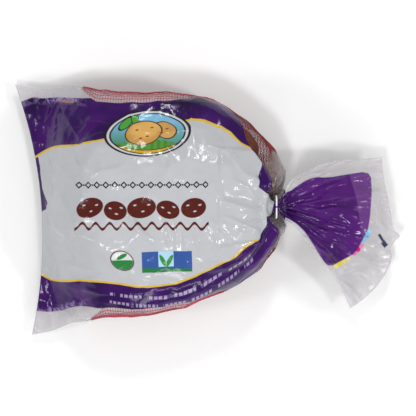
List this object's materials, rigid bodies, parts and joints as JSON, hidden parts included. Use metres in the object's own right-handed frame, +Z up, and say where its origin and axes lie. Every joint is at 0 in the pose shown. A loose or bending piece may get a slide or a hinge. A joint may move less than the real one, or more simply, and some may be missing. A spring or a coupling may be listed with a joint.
{
  "type": "filled bag of potatoes",
  "caption": "Filled bag of potatoes lying on its back: printed film front, net and clear film back, neck closed by a flat plastic clip with the loose end spread past it.",
  "frame": {"origin": "middle of the underside of the whole bag's bounding box, on the surface that it lies on", "axes": "+X along the bag from the base seam to the mouth, +Y across the bag, +Z up from the surface, out of the printed front"},
  "size_m": [0.4036, 0.2676, 0.1103],
  "materials": {
    "printed_film": "glossy polyethylene film printed in purple, white and gold, clear at its margins",
    "clear_film": "glossy, slightly hazy clear polyethylene film",
    "net": "red knitted plastic net",
    "clip": "white stamped sheet plastic",
    "potato_skin": "dry netted brown russet skin"
  },
  "bodies": {
    "root": {"front_film": "printed_film", "back_film_base": "clear_film", "back_net": "net", "back_film_neck": "clear_film", "closure_clip": "clip", "potato_01": "potato_skin", "potato_02": "potato_skin", "potato_03": "potato_skin", "potato_04": "potato_skin", "potato_05": "potato_skin", "potato_06": "potato_skin", "potato_07": "potato_skin", "potato_08": "potato_skin", "potato_09": "potato_skin", "potato_10": "potato_skin", "potato_11": "potato_skin"}
  },
  "joints": []
}
